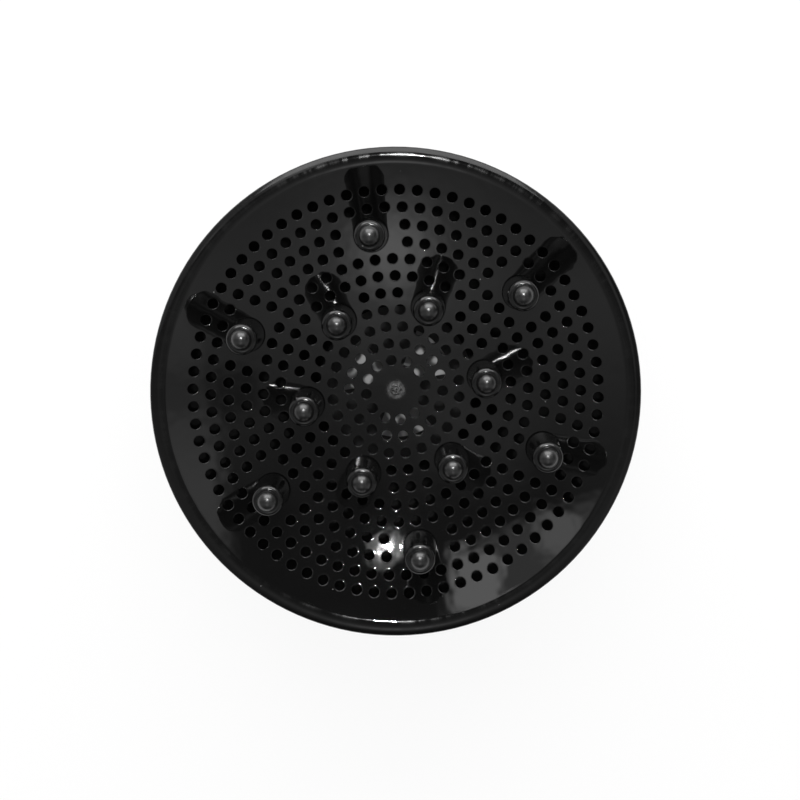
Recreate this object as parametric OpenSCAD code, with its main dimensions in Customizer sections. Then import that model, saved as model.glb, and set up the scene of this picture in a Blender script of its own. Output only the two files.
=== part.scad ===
// Dryer diffuser: a perforated dish with twelve fingers, closed at the back by
// a funnel whose neck takes the nozzle of a hair dryer.
// Millimetres. The origin is the centre of the socket's mouth, and +Z runs
// along the axis towards the finger tips.

/* [Rim] */
// Outside diameter of the rim
rim_d = 150; // [142:1:170]
// Width of the lip between the hollow face and the rim
lip_w = 5.2; // [4.6:0.1:6]
// Radius of the lip's crown
lip_crown = 4.8; // [4:0.1:6]
// Rounding of the lip's outer edge
lip_round = 1.5; // [1:0.1:2]
// Height of the lip from its underside to its crest
lip_h = 3.2; // [2.9:0.1:4]
// Shadow gap between the lip and the funnel
seam = 0.3; // [0.2:0.05:0.5]

/* [Dish] */
// Radius of the dish's hollow face
dish_r = 165; // [150:1:260]
// Wall thickness of the dish
dish_wall = 2; // [1.6:0.1:2.4]
// Width of the skirt behind the lip
skirt_w = 2.6; // [2.2:0.1:3]
// Depth of the skirt inside the funnel's mouth
skirt_h = 5.6; // [5.2:0.1:6.4]

/* [Air holes] */
// Diameter of one air hole
hole_d = 3.2; // [2.4:0.1:3.6]
// Radius of the innermost ring of holes
ring_first_r = 9.3; // [8:0.1:10]
// Distance from the last ring of holes to the edge of the hollow face
ring_margin = 7.7; // [6.5:0.1:10]
// Number of rings of holes
ring_count = 11; // [9:1:11]
// Material left between a hole and a finger
hole_web = 0.6; // [0.4:0.1:1]

/* [Fingers] */
// Height of a finger's tip above the dish
finger_h = 27.3; // [22:0.1:36]
// Diameter of a finger where it leaves the dish
finger_base_d = 10.4; // [9.8:0.1:11]
// Diameter of a finger's shoulder
shoulder_d = 9.4; // [8.6:0.1:9.6]
// Rounding of the shoulder
shoulder_round = 1.4; // [0.8:0.1:1.6]
// Diameter of the nub on the shoulder
nub_d = 6.4; // [5.2:0.1:6.6]
// Height of the nub above the shoulder
nub_h = 3.4; // [3:0.1:4.2]
// Diameter of the core that hollows a finger from behind
core_d = 5; // [4:0.1:5.6]
// Depth of a finger's seat below the dish's face
seat_depth = 5; // [4.6:0.1:6]
// Thickness of the flange that stops a finger behind the dish
flange_t = 1.5; // [1:0.1:2]
// Step of the flange beyond the finger's seat
flange_step = 0.9; // [0.6:0.1:1]

/* [Funnel] */
// Wall of the funnel's mouth around the skirt
mouth_wall = 1.3; // [1.2:0.1:2]
// Rounding of the mouth's outer edge
mouth_round = 0.4; // [0.2:0.1:0.8]
// Height of the upright band below the mouth's edge
band_h = 8.6; // [7.6:0.2:11]
// Wall thickness of the funnel
funnel_wall = 2; // [1.6:0.1:2.4]
// Slope of the funnel's cone
funnel_slope = 22; // [16:1:30]
// Radius of the flare from the neck to the cone
flare_r = 18; // [12:1:24]
// Radius of the turn from the cone to the upright band
turn_r = 8; // [6:0.5:10]
// Width of the ledge that carries the dish
ledge_w = 2; // [1.6:0.1:2.4]

/* [Nozzle socket] */
// Diameter of the socket for the dryer's nozzle
socket_d = 45; // [40:0.5:50]
// Depth of the socket
socket_depth = 22; // [18:1:30]
// Wall thickness of the soft grip sleeve
sleeve_wall = 2.2; // [1.8:0.1:3]
// Thickness of the sleeve's end flange
sleeve_flange = 2; // [1.6:0.1:3]
// Width of the ledge that stops the nozzle
stop_w = 2.8; // [2:0.1:4]
// Thickness of that ledge
stop_t = 2; // [1.6:0.1:3]

/* [Throat screen] */
// Thickness of the screen
screen_t = 1.6; // [1.2:0.1:2]
// Radius of the screen's closed middle
screen_hub_r = 6; // [4:0.5:8]
// Width of the screen's rim around its windows
screen_rim = 1.7; // [1.2:0.1:3]
// Angle that one of the three windows spans
window_angle = 60; // [40:2:76]

/* [Fit] */
// Clearance around pieces that are pushed together
fit_gap = 0.1; // [0.05:0.01:0.2]
// Radius of the bead that snaps the dish into the funnel
bead_r = 0.8; // [0.6:0.05:0.9]

/* [Hidden] */
$fn = 96;
black = [0.09, 0.09, 0.095];
soft_black = [0.14, 0.14, 0.14];

// Radii from the rim inwards
rim_r = rim_d / 2;
mouth_r = rim_r - mouth_wall;
skirt_r = mouth_r - fit_gap;
edge_r = rim_r - lip_w;
crest_r = edge_r * (dish_r + lip_crown) / dish_r;
ledge_r = mouth_r - ledge_w;

// Radii from the socket outwards
socket_r = socket_d / 2;
sleeve_r = socket_r + sleeve_wall;
neck_r = sleeve_r + funnel_wall;
stop_r = socket_r - stop_w;
screen_r = sleeve_r - fit_gap;

// Heights along the axis
stop_z = socket_depth;
stop_top = stop_z + stop_t;
flare_z = stop_z - 2;
flare_c = [neck_r + flare_r, flare_z];
flare_end = flare_c + flare_r * [-sin(funnel_slope), cos(funnel_slope)];
turn_x = rim_r - turn_r;
cone_run = turn_x + turn_r * sin(funnel_slope) - flare_end.x;
turn_z = flare_end.y + cone_run * tan(funnel_slope) + turn_r * cos(funnel_slope);
turn_c = [turn_x, turn_z];
mouth_z = turn_z + band_h;
ledge_z = mouth_z - skirt_h;
lip_z = mouth_z + seam;
crest_z = lip_z + lip_h;
edge_z = crest_z - lip_crown * (1 - sqrt(1 - pow(edge_r / dish_r, 2)));
dish_z = edge_z - sag(edge_r);
bead_c = [skirt_r - bead_r / 2, ledge_z + skirt_h / 2 - 0.2];

// Two rings of six fingers stand midway between rings of holes
ring_pitch = (edge_r - ring_margin - ring_first_r) / (ring_count - 1);
finger_in_r = ring_r(5.5);
finger_out_r = ring_r(9.5);
finger_axes = [
    for (i = [0:5]) polar(finger_in_r, 60 * i),
    for (i = [0:5]) polar(finger_out_r, 60 * i + 30)
];
hole_clear = (finger_base_d + hole_d) / 2 + hole_web;
hole_axes = [
    for (k = [2:ring_count + 1])
        for (m = [0:6 * k - 1])
            let (p = polar(ring_r(k), (m + (k % 2) / 2) * 60 / k))
                if (is_clear(p)) p
];

// The finger's foot stays upright to where the sloping dish has left it
shoulder_h = finger_h - nub_h;
foot_h = 0.2 + finger_base_d / 2 * tan(asin(finger_out_r / dish_r));
flange_d = finger_base_d + 2 * flange_step;
bore_d = finger_base_d + 2 * fit_gap;
core_h = shoulder_h - 3;

function polar(r, a) = [r * cos(a), r * sin(a)];
function sag(r) = dish_r - sqrt(dish_r * dish_r - r * r);
function ring_r(k) = ring_first_r + (k - 2) * ring_pitch;
function is_clear(p) = min([for (f = finger_axes) norm(p - f)]) > hole_clear;
function arc(c, r, a0, a1, n = 24) = [
    for (i = [0:n]) let (a = a0 + (a1 - a0) * i / n) c + polar(r, a)
];

// Keeps the half of a section that a revolve can use
module right_half(r, z0, z1) {
    intersection() {
        children();
        translate([0, z0])
            square([r, z1 - z0]);
    }
}

// The lip: a crown that leaves the hollow face without a crease and turns down
// over a tighter round at the rim
module lip_section() {
    round_x = rim_r - lip_round;
    reach = (round_x - crest_r) / (lip_crown - lip_round);
    round_z = crest_z - lip_crown + (lip_crown - lip_round) * sqrt(1 - reach * reach);
    turn_over = crest_r + lip_crown * reach;
    intersection() {
        translate([crest_r, crest_z - lip_crown])
            circle(lip_crown);
        translate([edge_r, lip_z])
            square([turn_over - edge_r, lip_h + 1]);
    }
    intersection() {
        translate([round_x, round_z])
            circle(lip_round);
        translate([turn_over, round_z])
            square([lip_round + 1, lip_round + 1]);
    }
    translate([turn_over, lip_z])
        square([rim_r - turn_over, round_z - lip_z]);
}

// The dish: a hollow spherical wall, its lip, and a skirt with a snap bead
module dish_section() {
    right_half(edge_r, dish_z - dish_wall, edge_z + 1)
        translate([0, dish_z + dish_r])
            difference() {
                circle(dish_r + dish_wall, $fn = 720);
                circle(dish_r, $fn = 720);
            }
    lip_section();
    translate([skirt_r - skirt_w, ledge_z])
        square([skirt_w, lip_z + 1 - ledge_z]);
    translate(bead_c)
        circle(bead_r);
}

module at_fingers() {
    for (p = finger_axes)
        translate([p.x, p.y, dish_z + sag(norm(p))])
            children();
}

// Flat-ended bosses behind the dish, cut off at its hollow face
module finger_bosses() {
    difference() {
        at_fingers()
            translate([0, 0, -seat_depth])
                cylinder(d = flange_d, h = seat_depth + foot_h + 1);
        translate([0, 0, dish_z + dish_r])
            sphere(dish_r, $fn = 720);
    }
}

// The moulding gate at the middle: a low ring around a small dome
module gate_mark() {
    translate([0, 0, dish_z]) {
        rotate_extrude()
            translate([1.3, 0])
                circle(0.4);
        sphere(0.5);
    }
}

module front_dish() {
    color(black)
        difference() {
            union() {
                rotate_extrude()
                    dish_section();
                finger_bosses();
                gate_mark();
            }
            at_fingers()
                translate([0, 0, -seat_depth - 1])
                    cylinder(d = bore_d, h = seat_depth + foot_h + 4);
            for (p = hole_axes)
                translate([p.x, p.y, dish_z - seat_depth])
                    cylinder(d = hole_d, h = seat_depth + sag(norm(p)) + 3);
        }
}

// A finger: flange, straight seat, tapered body, rounded shoulder and nub
module finger_section() {
    round_x = shoulder_d / 2 - shoulder_round;
    round_z = shoulder_h - shoulder_round;
    difference() {
        union() {
            translate([0, -seat_depth - flange_t])
                square([flange_d / 2, flange_t]);
            polygon([
                [0, -seat_depth],
                [finger_base_d / 2, -seat_depth],
                [finger_base_d / 2, foot_h],
                [shoulder_d / 2, round_z],
                [round_x, round_z],
                [round_x, shoulder_h],
                [0, shoulder_h]
            ]);
            translate([round_x, round_z])
                circle(shoulder_round);
            square([nub_d / 2, finger_h - nub_d / 2]);
            translate([0, finger_h - nub_d / 2])
                circle(nub_d / 2);
        }
        translate([0, -seat_depth - flange_t - 1])
            square([core_d / 2, seat_depth + flange_t + 1 + core_h]);
    }
}

module finger(p) {
    color(black)
        translate([p.x, p.y, dish_z + sag(norm(p))])
            rotate_extrude()
                right_half(flange_d, -seat_depth - flange_t, finger_h)
                    finger_section();
}

// The funnel in section: neck, flare, cone and band outside, and the seats of
// the dish, the screen and the sleeve inside
module shell_section() {
    pocket_top = stop_top + screen_t + 0.4;
    inner_flare = flare_r + funnel_wall;
    inner_turn = turn_r - funnel_wall;
    polygon(concat(
        [[neck_r, sleeve_flange]],
        arc(flare_c, flare_r, 180, 90 + funnel_slope),
        arc(turn_c, turn_r, funnel_slope - 90, 0),
        arc([rim_r, mouth_z] - [mouth_round, mouth_round], mouth_round, 0, 90, 8),
        [
            [mouth_r, mouth_z],
            [mouth_r, ledge_z],
            [ledge_r, ledge_z],
            [ledge_r, turn_z]
        ],
        arc(turn_c, inner_turn, -acos((ledge_r - turn_x) / inner_turn), funnel_slope - 90),
        arc(flare_c, inner_flare, 90 + funnel_slope, 180 - asin((pocket_top - flare_z) / inner_flare)),
        [
            [sleeve_r, pocket_top],
            [sleeve_r, stop_top],
            [stop_r, stop_top],
            [stop_r, stop_z],
            [sleeve_r, stop_z],
            [sleeve_r, sleeve_flange]
        ]
    ));
}

module rear_shell() {
    color(black)
        rotate_extrude()
            difference() {
                shell_section();
                translate(bead_c)
                    circle(bead_r + fit_gap);
            }
}

// One window of the screen: a part of a ring, in plan
module screen_window() {
    reach = 2 * screen_r;
    intersection() {
        difference() {
            circle(stop_r - screen_rim);
            circle(screen_hub_r);
        }
        polygon([[0, 0], polar(reach, -window_angle / 2), polar(reach, window_angle / 2)]);
    }
}

// A flat disc above the nozzle's stop, with three windows between its spokes
module throat_screen() {
    color(black)
        translate([0, 0, stop_top])
            difference() {
                cylinder(r = screen_r, h = screen_t);
                for (i = [0:2])
                    rotate(120 * i + 30)
                        translate([0, 0, -1])
                            linear_extrude(screen_t + 2)
                                screen_window();
            }
}

// The soft lining of the neck, with a rounded flange over the neck's end
module grip_sleeve() {
    lead_in = 0.8;
    color(soft_black)
        rotate_extrude()
            polygon(concat(
                [
                    [socket_r + lead_in, 0],
                    [neck_r - lead_in, 0]
                ],
                arc([neck_r - lead_in, lead_in], lead_in, -90, 0, 8),
                [
                    [neck_r, sleeve_flange],
                    [sleeve_r, sleeve_flange],
                    [sleeve_r, stop_z],
                    [socket_r, stop_z],
                    [socket_r, lead_in]
                ]
            ));
}

front_dish();
finger(finger_axes[0]);  // finger_inner_1
finger(finger_axes[1]);  // finger_inner_2
finger(finger_axes[2]);  // finger_inner_3
finger(finger_axes[3]);  // finger_inner_4
finger(finger_axes[4]);  // finger_inner_5
finger(finger_axes[5]);  // finger_inner_6
finger(finger_axes[6]);  // finger_outer_1
finger(finger_axes[7]);  // finger_outer_2
finger(finger_axes[8]);  // finger_outer_3
finger(finger_axes[9]);  // finger_outer_4
finger(finger_axes[10]);  // finger_outer_5
finger(finger_axes[11]);  // finger_outer_6
rear_shell();
throat_screen();
grip_sleeve();
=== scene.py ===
"""Dryer diffuser, seen from the front in a plain white studio. Lengths are in metres."""
import math

import bpy
from mathutils import Matrix, Vector


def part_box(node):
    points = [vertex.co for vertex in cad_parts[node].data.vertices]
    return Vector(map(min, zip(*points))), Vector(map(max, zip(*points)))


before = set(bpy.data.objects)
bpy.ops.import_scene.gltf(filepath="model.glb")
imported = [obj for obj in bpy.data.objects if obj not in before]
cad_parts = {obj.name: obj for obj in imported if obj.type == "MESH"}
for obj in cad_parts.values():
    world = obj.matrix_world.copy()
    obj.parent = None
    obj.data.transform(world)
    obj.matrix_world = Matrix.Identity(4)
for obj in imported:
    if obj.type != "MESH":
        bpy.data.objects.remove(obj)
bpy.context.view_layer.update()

# The photograph's view
ROLL = math.radians(8.87)          # the first inner finger's turn from the picture's right
CAMERA_HEIGHT = 0.640              # above the lip's crest, along the dish's axis
CAMERA_OFFSET = (0.00638, 0.0586)  # to the picture's right and up, off the axis
AIM_OFFSET = (0.00141, -0.00176)   # where the picture's centre falls on the crest's plane
SENSOR_MM = 36.0
LENS_MM = 94.97

RIGHT = Vector((math.cos(ROLL), -math.sin(ROLL), 0.0))
UP = Vector((math.sin(ROLL), math.cos(ROLL), 0.0))
AXIS = Vector((0.0, 0.0, 1.0))

# The forms of the dish and the fingers
FINGERS = [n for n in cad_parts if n.startswith("finger_")]
FINGER_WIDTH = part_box(FINGERS[0])[1][0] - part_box(FINGERS[0])[0][0]
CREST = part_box("front_dish")[1][2]
HOLLOW_DEPTH = 0.015943
HOLLOW_RADIUS = 0.165
HOLLOW_CENTRE = CREST - HOLLOW_DEPTH + HOLLOW_RADIUS
HOLLOW_EDGE = 0.0698               # where the hollow face runs into the lip
LIP_RADIUS = 0.07183               # of the ring that the lip's crown is rounded about
LIP_CROWN = 0.0048
ON_FORM = 0.00008                  # how near to a form the surface that belongs to it lies
FACING = 0.97                      # and the least cosine between their normals

# The shading around the dish's holes
EDGE_ROUND = 0.0004
DISHED_RADIUS = 0.0007             # how far the face sinks around each hole
DISHED_SHARE = 0.15                # and how much, of a full rounding
BEVEL_SAMPLES = 6

# Where the finish changes: each pair is where a change starts and ends
LIP_START = (0.0696, 0.0712)       # from the dish's axis
GATE_INNER = (0.0015, 0.0019)
GATE_OUTER = (0.0022, 0.0034)
BLUSH_FADE = (0.0004, 0.0038)
NUB_EDGE = (0.0031, 0.0033)        # from the finger's axis
INSIDE_TURN = (0.0, 0.3)           # how far the funnel's normal points up

# Sizes of the noises, in features per metre
CLOUD_SCALE = 45.0
SMEAR_SCALE = 140.0
WAVE_SCALE = 170.0
BLUSH_SCALE = 1400.0
DUST_SCALE = 420.0
# the painted patches of light and shade in the socket
PAINTED_SPOT_SCALE = 250.0
SCRATCH_COUNT = 70.0               # around the lip

DUST_SIZE = 0.09                   # of the distance between two specks
DUST_SHADE = 0.16
DUST_ROUGH = 0.8
BLUSH_SHADE = 0.13

# The floor's paper, with painted shade under the part and painted patches of light and shade in the
# socket
FLOOR_HALF_SIZE = 3.0
PAPER = 0.9
# painted shade: the paper's paint is darker inside the socket
PAPER_PAINTED_SHADE_IN_SOCKET = 0.3
GLOW = 0.9                         # how white it reads in the open
GLOW_PAINTED_SHADE = 0.22               # painted shade: how white it reads under the part
PAINTED_SHADE_FADE = (0.03, 0.09)          # where the painted shade fades, from the dish's axis
# where the socket's painted shade and painted patches of light fade out, from the dish's axis
SOCKET_FADE = (0.020, 0.024)
PAINTED_LIGHT_SPOTS = (-0.21, 0.01)          # painted patches of light and shade added inside the socket, from the dark patches to the bright ones

# Brightness of the room from the picture's bottom to its top
ROOM = [(-1.0, 0.06), (-0.85, 0.10), (-0.72, 0.28), (-0.58, 0.36),
        (-0.42, 0.44), (-0.28, 0.40), (-0.1, 0.29), (0.1, 0.19),
        (0.3, 0.12), (0.55, 0.08), (0.75, 0.12), (1.0, 0.20)]

# Soft round patches of light: right, up, where each starts to fade and ends, brightness
PATCHES = [(0.0, -0.53, 0.0, 0.20, 1.3),
           (0.0, -0.50, 0.0, 0.45, 0.33),
           (-0.25, 0.04, 0.0, 0.30, 0.18),
           (0.028, 0.423, 0.034, 0.076, 2.4)]

# Window panes: right, up, half width, half height, softness, brightness
PANES = [(-0.265, 0.51, 0.075, 0.09, 0.03, 1.55),
         (-0.52, 0.345, 0.06, 0.065, 0.03, 0.9)]
DARK_STRIP = (0.76, -0.09, 0.33, 0.07, 0.04, 0.13)

# Lamps, along the picture's right and up and the dish's axis
LAMP_DISTANCE = 1.2
KEY_WAY = (0.014, 0.39, 0.92)
TOP_WAY = (0.0, 0.88, 0.475)


def in_picture(right, up, height):
    """A point or direction given along the picture's right and up and the dish's axis."""
    return RIGHT * right + UP * up + AXIS * height


def look_along(direction, up):
    """The turn of a lamp or camera whose -Z looks along direction."""
    back = -direction.normalized()
    side = up.cross(back).normalized()
    return Matrix((side, back.cross(side), back)).transposed().to_4x4()


def grey(shade):
    return (shade, shade, shade, 1.0)


# Shader helpers

def add(tree, kind, **values):
    """A node with the named inputs or properties set."""
    node = tree.nodes.new(kind)
    for name, value in values.items():
        key = name.replace("_", " ").title()
        if key in node.inputs:
            node.inputs[key].default_value = value
        else:
            setattr(node, name, value)
    return node


def math_node(tree, operation, a, b=0.0, c=0.0):
    node = add(tree, "ShaderNodeMath", operation=operation)
    for socket, value in zip(node.inputs, (a, b, c)):
        if isinstance(value, (int, float)):
            socket.default_value = value
        else:
            tree.links.new(value, socket)
    return node.outputs[0]


def vector_math(tree, operation, a, b=None):
    node = add(tree, "ShaderNodeVectorMath", operation=operation)
    for socket, value in zip(node.inputs, (a, b)):
        if isinstance(value, tuple):
            socket.default_value = value
        elif value is not None:
            tree.links.new(value, socket)
    return node.outputs["Value" if operation in ("LENGTH", "DOT_PRODUCT") else "Vector"]


def scaled(tree, vector, factor):
    node = add(tree, "ShaderNodeVectorMath", operation="SCALE")
    tree.links.new(vector, node.inputs[0])
    tree.links.new(factor, node.inputs["Scale"])
    return node.outputs["Vector"]


def remap(tree, value, low, high, out_low, out_high):
    """Goes smoothly from out_low to out_high as the value goes from low to high."""
    node = add(tree, "ShaderNodeMapRange", interpolation_type="SMOOTHSTEP",
               from_min=low, from_max=high, to_min=out_low, to_max=out_high)
    tree.links.new(value, node.inputs["Value"])
    return node.outputs["Result"]


def noise(tree, coords, scale, detail=3.0, roughness=0.5):
    node = add(tree, "ShaderNodeTexNoise", scale=scale, detail=detail, roughness=roughness)
    tree.links.new(coords, node.inputs["Vector"])
    return node.outputs["Fac"]


def mix_colour(tree, factor, a, b):
    node = add(tree, "ShaderNodeMix", data_type="RGBA")
    tree.links.new(factor, node.inputs["Factor"])
    for socket, value in ((node.inputs[6], a), (node.inputs[7], b)):
        if isinstance(value, tuple):
            socket.default_value = value
        else:
            tree.links.new(value, socket)
    return node.outputs[2]


def from_axis(tree, coords):
    """Distance from the axis of the coordinates' third direction."""
    return vector_math(tree, "LENGTH", vector_math(tree, "MULTIPLY", coords, (1.0, 1.0, 0.0)))


def around(tree, coords, count):
    """Noise that changes with the angle around the dish's axis alone, about count times."""
    parts = tree.nodes.new("ShaderNodeSeparateXYZ")
    tree.links.new(coords, parts.inputs[0])
    angle = math_node(tree, "ARCTAN2", parts.outputs[1], parts.outputs[0])
    node = add(tree, "ShaderNodeTexNoise", noise_dimensions="1D", scale=count / math.tau,
               detail=4.0, roughness=0.7)
    tree.links.new(angle, node.inputs["W"])
    return node.outputs["Fac"]


# Materials

def moulded_normal(tree, coords):
    """The dish's normal: true to its hollow face and its lip, and softened around the holes."""
    rounded = add(tree, "ShaderNodeBevel", samples=BEVEL_SAMPLES, radius=EDGE_ROUND)
    dished = add(tree, "ShaderNodeBevel", samples=BEVEL_SAMPLES, radius=DISHED_RADIUS)
    plain = tree.nodes.new("ShaderNodeNewGeometry").outputs["Normal"]

    def correction(from_form, size, zone):
        """What turns the mesh's normal into a round form's, where the surface lies on that form."""
        exact = vector_math(tree, "NORMALIZE", from_form)
        away = math_node(tree, "SUBTRACT", vector_math(tree, "LENGTH", from_form), size)
        near = math_node(tree, "LESS_THAN", math_node(tree, "ABSOLUTE", away), ON_FORM)
        cosine = vector_math(tree, "DOT_PRODUCT", plain, exact)
        here = math_node(tree, "MULTIPLY", near, math_node(tree, "GREATER_THAN", cosine, FACING))
        here = math_node(tree, "MULTIPLY", here, zone)
        return scaled(tree, vector_math(tree, "SUBTRACT", exact, plain), here)

    in_hollow = math_node(tree, "LESS_THAN", from_axis(tree, coords), HOLLOW_EDGE)
    to_centre = vector_math(tree, "SUBTRACT", (0.0, 0.0, HOLLOW_CENTRE), coords)
    hollow = correction(to_centre, HOLLOW_RADIUS, in_hollow)

    flat = vector_math(tree, "MULTIPLY", coords, (1.0, 1.0, 0.0))
    outward = vector_math(tree, "NORMALIZE", flat)
    ring = vector_math(tree, "MULTIPLY", outward, (LIP_RADIUS, LIP_RADIUS, 0.0))
    ring = vector_math(tree, "ADD", ring, (0.0, 0.0, CREST - LIP_CROWN))
    on_lip = math_node(tree, "SUBTRACT", 1.0, in_hollow)
    crown = correction(vector_math(tree, "SUBTRACT", coords, ring), LIP_CROWN, on_lip)

    sunk = vector_math(tree, "SUBTRACT", dished.outputs["Normal"], plain)
    sunk = vector_math(tree, "MULTIPLY", sunk, (DISHED_SHARE, DISHED_SHARE, DISHED_SHARE))
    normal = rounded.outputs["Normal"]
    for change in (hollow, crown, sunk):
        normal = vector_math(tree, "ADD", normal, change)
    return vector_math(tree, "NORMALIZE", normal)


def plastic(name, shade, rough, rough_spread, grain, grain_depth, wave_depth=0.0, dust=0.0,
            lip_rough=0.0, gate_rough=0.0, inside_rough=0.0, nub_rough=0.0, moulded=False,
            specular=0.5, other_specular=0.5):
    """Moulded plastic: uneven gloss, mould grain, slow waves in the face and a little dust.

    The lip, the inside of the funnel or the nubs are rougher, and have other_specular.
    """
    material = bpy.data.materials.new(name)
    material.use_nodes = True
    tree = material.node_tree
    shader = tree.nodes["Principled BSDF"]
    shader.inputs["IOR"].default_value = 1.5
    shader.inputs["Specular IOR Level"].default_value = specular
    coords = tree.nodes.new("ShaderNodeTexCoord").outputs["Object"]

    cloud = noise(tree, coords, CLOUD_SCALE, 4.0)
    colour = mix_colour(tree, cloud, grey(shade * 0.75), grey(shade * 1.35))
    smear = noise(tree, coords, SMEAR_SCALE, 5.0, 0.65)
    gloss = remap(tree, smear, 0.3, 0.7, rough - rough_spread, rough + rough_spread)

    other = None
    if lip_rough:
        other = remap(tree, from_axis(tree, coords), *LIP_START, 0.0, 1.0)
        scratches = remap(tree, around(tree, coords, SCRATCH_COUNT), 0.35, 0.65,
                          lip_rough * 0.4, lip_rough * 1.8)
        gloss = math_node(tree, "MULTIPLY_ADD", other, scratches, gloss)
    if gate_rough:
        to_gate = from_axis(tree, coords)
        on_gate = math_node(tree, "MULTIPLY", remap(tree, to_gate, *GATE_INNER, 0.2, 1.0),
                            remap(tree, to_gate, *GATE_OUTER, 1.0, 0.0))
        gloss = math_node(tree, "MULTIPLY_ADD", on_gate, gate_rough, gloss)
        blush = math_node(tree, "MULTIPLY", remap(tree, to_gate, *BLUSH_FADE, 1.0, 0.0),
                          remap(tree, noise(tree, coords, BLUSH_SCALE), 0.42, 0.60, 0.05, 1.0))
        colour = mix_colour(tree, blush, colour, grey(BLUSH_SHADE))
    if inside_rough:
        plain = tree.nodes.new("ShaderNodeNewGeometry").outputs["Normal"]
        upward = vector_math(tree, "DOT_PRODUCT", plain, tuple(AXIS))
        other = remap(tree, upward, *INSIDE_TURN, 0.0, 1.0)
        gloss = math_node(tree, "MULTIPLY_ADD", other, inside_rough, gloss)
    if nub_rough:
        place = tree.nodes.new("ShaderNodeTexCoord").outputs["Generated"]
        off_axis = from_axis(tree, vector_math(tree, "SUBTRACT", place, (0.5, 0.5, 0.0)))
        off_axis = math_node(tree, "MULTIPLY", off_axis, FINGER_WIDTH)
        other = remap(tree, off_axis, *NUB_EDGE, 1.0, 0.0)
        gloss = math_node(tree, "MULTIPLY_ADD", other, nub_rough, gloss)
    if other:
        varied = remap(tree, other, 0.0, 1.0, specular, other_specular)
        tree.links.new(varied, shader.inputs["Specular IOR Level"])

    bump = add(tree, "ShaderNodeBump", strength=1.0, distance=grain_depth)
    tree.links.new(noise(tree, coords, grain, 2.0), bump.inputs["Height"])
    if moulded:
        tree.links.new(moulded_normal(tree, coords), bump.inputs["Normal"])
    wave = add(tree, "ShaderNodeBump", strength=1.0, distance=wave_depth)
    tree.links.new(noise(tree, coords, WAVE_SCALE, 1.0), wave.inputs["Height"])
    tree.links.new(bump.outputs["Normal"], wave.inputs["Normal"])
    tree.links.new(wave.outputs["Normal"], shader.inputs["Normal"])

    if dust:
        cells = add(tree, "ShaderNodeTexVoronoi", scale=DUST_SCALE)
        tree.links.new(coords, cells.inputs["Vector"])
        near = math_node(tree, "LESS_THAN", cells.outputs["Distance"], DUST_SIZE)
        pick = tree.nodes.new("ShaderNodeSeparateColor")
        tree.links.new(cells.outputs["Color"], pick.inputs[0])
        few = math_node(tree, "LESS_THAN", pick.outputs[0], dust)
        speck = math_node(tree, "MULTIPLY", near, few)
        colour = mix_colour(tree, speck, colour, grey(DUST_SHADE))
        gloss = math_node(tree, "MAXIMUM", gloss, math_node(tree, "MULTIPLY", speck, DUST_ROUGH))

    tree.links.new(colour, shader.inputs["Base Color"])
    tree.links.new(gloss, shader.inputs["Roughness"])
    return material


def dress(node, material):
    """Puts a material in every slot of a CAD node."""
    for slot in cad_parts[node].material_slots:
        slot.material = material


dish_plastic = plastic(
    "dish_gloss", shade=0.0022, rough=0.028, rough_spread=0.010, grain=2600.0, grain_depth=2e-7,
    wave_depth=8e-5, dust=0.02, lip_rough=0.10, gate_rough=0.45, moulded=True, other_specular=0.28)
finger_plastic = plastic(
    "finger_gloss", shade=0.0025, rough=0.15, rough_spread=0.03, grain=2600.0, grain_depth=1e-6,
    dust=0.02, nub_rough=0.16, specular=0.42, other_specular=0.75)
shell_plastic = plastic(
    "shell_satin", shade=0.0065, rough=0.26, rough_spread=0.04, grain=3200.0, grain_depth=8e-6,
    inside_rough=0.4, other_specular=0.1)
screen_plastic = plastic(
    "screen_satin", shade=0.036, rough=0.55, rough_spread=0.04, grain=3200.0, grain_depth=8e-6,
    specular=0.15)
sleeve_rubber = plastic(
    "sleeve_rubber", shade=0.014, rough=0.62, rough_spread=0.06, grain=2200.0, grain_depth=2e-5)

dress("front_dish", dish_plastic)
for finger in FINGERS:
    dress(finger, finger_plastic)
dress("rear_shell", shell_plastic)
dress("throat_screen", screen_plastic)
dress("grip_sleeve", sleeve_rubber)


# Camera

crest = AXIS * CREST
camera_place = crest + in_picture(*CAMERA_OFFSET, CAMERA_HEIGHT)
camera_aim = crest + in_picture(*AIM_OFFSET, 0.0)
camera_data = bpy.data.cameras.new("camera")
camera_data.sensor_width = SENSOR_MM
camera_data.lens = LENS_MM
camera = bpy.data.objects.new("camera", camera_data)
camera.matrix_world = (Matrix.Translation(camera_place)
                       @ look_along(camera_aim - camera_place, UP))
bpy.context.scene.collection.objects.link(camera)
bpy.context.scene.camera = camera


# Floor, world and lamps

def seen_or_mirrored(tree):
    """1 for rays from the camera and for mirrored or refracted ones."""
    path = tree.nodes.new("ShaderNodeLightPath").outputs
    mirrored = math_node(tree, "MAXIMUM", path["Is Glossy Ray"], path["Is Transmission Ray"])
    return math_node(tree, "MAXIMUM", path["Is Camera Ray"], mirrored)


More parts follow.
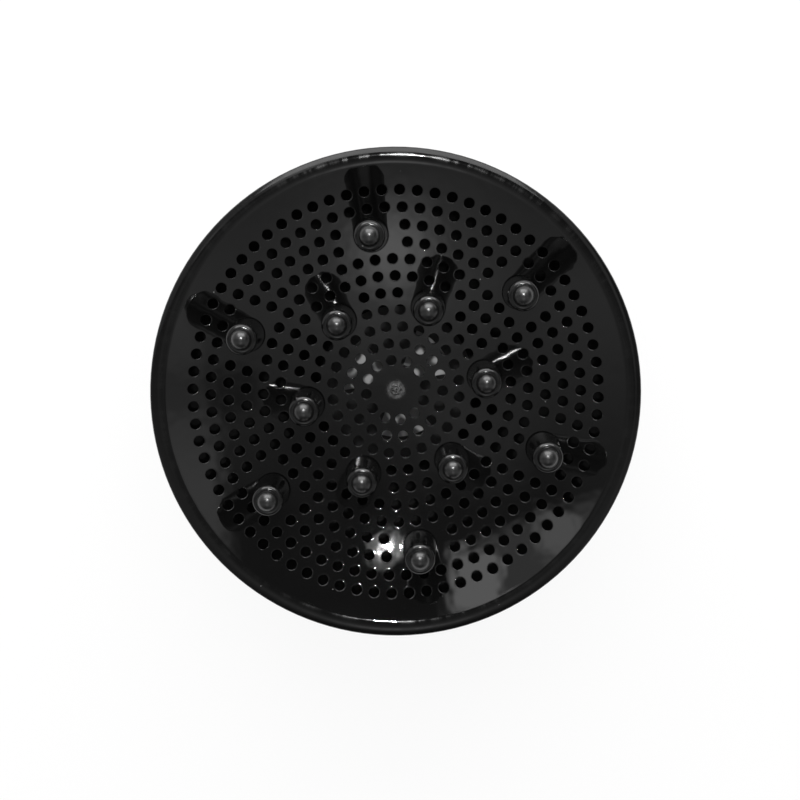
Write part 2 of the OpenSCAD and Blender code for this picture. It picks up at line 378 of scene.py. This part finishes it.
def white_floor():
    """Paper that reads white, with painted shade under the part and painted patches of light and
    shade in the socket.
    """
    mesh = bpy.data.meshes.new("floor")
    corners = [(x * FLOOR_HALF_SIZE, y * FLOOR_HALF_SIZE, 0)
               for x, y in ((-1, -1), (1, -1), (1, 1), (-1, 1))]
    mesh.from_pydata(corners, [], [(0, 1, 2, 3)])
    floor = bpy.data.objects.new("floor", mesh)
    bpy.context.scene.collection.objects.link(floor)
    material = bpy.data.materials.new("floor_white")
    material.use_nodes = True
    tree = material.node_tree
    tree.nodes.clear()
    coords = tree.nodes.new("ShaderNodeTexCoord").outputs["Object"]

    away = from_axis(tree, coords)
    in_socket = remap(tree, away, *SOCKET_FADE, 1.0, 0.0)
    # painted patches of light and shade inside the socket
    painted_spots = remap(tree, noise(tree, coords, PAINTED_SPOT_SCALE, 0.0), 0.50, 0.72, *PAINTED_LIGHT_SPOTS)
    # painted shade: the paper reads less white under the part
    painted_shade = remap(tree, away, *PAINTED_SHADE_FADE, GLOW_PAINTED_SHADE, GLOW)
    glow_and_painted_shade = math_node(tree, "MULTIPLY_ADD", in_socket, painted_spots, painted_shade)

    paint = tree.nodes.new("ShaderNodeBsdfDiffuse")
    # painted shade: the paper is painted darker inside the socket
    tree.links.new(remap(tree, in_socket, 0.0, 1.0, PAPER, PAPER_PAINTED_SHADE_IN_SOCKET), paint.inputs["Color"])
    white = add(tree, "ShaderNodeEmission", strength=1.0)
    mix = tree.nodes.new("ShaderNodeMixShader")
    out = tree.nodes.new("ShaderNodeOutputMaterial")
    tree.links.new(math_node(tree, "MULTIPLY", seen_or_mirrored(tree), glow_and_painted_shade), mix.inputs[0])
    tree.links.new(paint.outputs[0], mix.inputs[1])
    tree.links.new(white.outputs[0], mix.inputs[2])
    tree.links.new(mix.outputs[0], out.inputs[0])
    mesh.materials.append(material)


def studio_world():
    """The dim room that the dish mirrors, and white where the camera looks past the floor."""
    world = bpy.data.worlds.new("studio")
    bpy.context.scene.world = world
    world.use_nodes = True
    tree = world.node_tree
    background = tree.nodes["Background"]
    background.inputs["Color"].default_value = grey(1.0)
    way = tree.nodes.new("ShaderNodeTexCoord").outputs["Generated"]
    right = vector_math(tree, "DOT_PRODUCT", way, tuple(RIGHT))
    up = vector_math(tree, "DOT_PRODUCT", way, tuple(UP))

    def apart(value, centre):
        return math_node(tree, "ABSOLUTE", math_node(tree, "SUBTRACT", value, centre))

    def patch(at_right, at_up, fade, reach, brightness):
        """A round patch of light with a soft edge."""
        side = math_node(tree, "POWER", apart(right, at_right), 2.0)
        rise = math_node(tree, "POWER", apart(up, at_up), 2.0)
        away = math_node(tree, "SQRT", math_node(tree, "ADD", side, rise))
        return remap(tree, away, fade, reach, brightness, 0.0)

    def pane(at_right, at_up, half_width, half_height, soft, brightness):
        """A rectangle of light with soft edges."""
        inside = remap(tree, apart(right, at_right), half_width - soft, half_width + soft, 1.0, 0.0)
        rise = remap(tree, apart(up, at_up), half_height - soft, half_height + soft, brightness, 0.0)
        return math_node(tree, "MULTIPLY", inside, rise)

    def edge(slope, start, end):
        """Rises from 0 to 1 as right + slope * up goes from start to end."""
        across = math_node(tree, "MULTIPLY_ADD", up, slope, right)
        return remap(tree, across, start, end, 0.0, 1.0)

    room = tree.nodes.new("ShaderNodeValToRGB")
    stops = room.color_ramp.elements
    stops[0].color = grey(ROOM[0][1])
    stops[1].color = grey(ROOM[-1][1])
    for height, shade in ROOM[1:-1]:
        stops.new((height + 1.0) / 2.0).color = grey(shade)
    tree.links.new(math_node(tree, "MULTIPLY_ADD", up, 0.5, 0.5), room.inputs[0])

    pale_wall = math_node(tree, "MULTIPLY", edge(0.12, 0.52, 0.60),
                          remap(tree, up, -0.2, 0.25, 0.15, 0.62))
    pale_wall = math_node(tree, "MULTIPLY", pale_wall, remap(tree, right, 0.70, 0.78, 1.0, 0.0))
    window_wall = math_node(tree, "MULTIPLY", edge(-2.2, -1.05, -1.21),
                            remap(tree, right, -0.22, -0.13, 0.5, 0.0))

    level = room.outputs["Color"]
    lights = [patch(*values) for values in PATCHES] + [pale_wall, window_wall]
    for light in lights + [pane(*values) for values in PANES]:
        level = math_node(tree, "ADD", level, light)
    level = math_node(tree, "SUBTRACT", level, pane(*DARK_STRIP))
    seen = tree.nodes.new("ShaderNodeLightPath").outputs["Is Camera Ray"]
    tree.links.new(math_node(tree, "MAXIMUM", level, seen), background.inputs["Strength"])


def lamp(name, direction, width, height, radiance, diffuse=True, mirrored=True):
    """A lamp that faces the dish's middle, with its brightness as seen from there."""
    data = bpy.data.lights.new(name, "AREA")
    data.shape = "RECTANGLE"
    data.size = width
    data.size_y = height
    data.energy = radiance * math.pi * width * height
    place = crest + in_picture(*direction).normalized() * LAMP_DISTANCE
    light = bpy.data.objects.new(name, data)
    light.matrix_world = Matrix.Translation(place) @ look_along(crest - place, UP)
    light.visible_camera = False
    light.visible_diffuse = diffuse
    light.visible_glossy = mirrored
    bpy.context.scene.collection.objects.link(light)


white_floor()
studio_world()
lamp("key_lamp", KEY_WAY, width=0.022, height=0.019, radiance=6900.0, diffuse=False)
lamp("soft_box", KEY_WAY, width=1.00, height=0.90, radiance=3.0, mirrored=False)
lamp("top_window", TOP_WAY, width=1.40, height=0.85, radiance=4.8)

bpy.context.scene.view_settings.view_transform = "Standard"
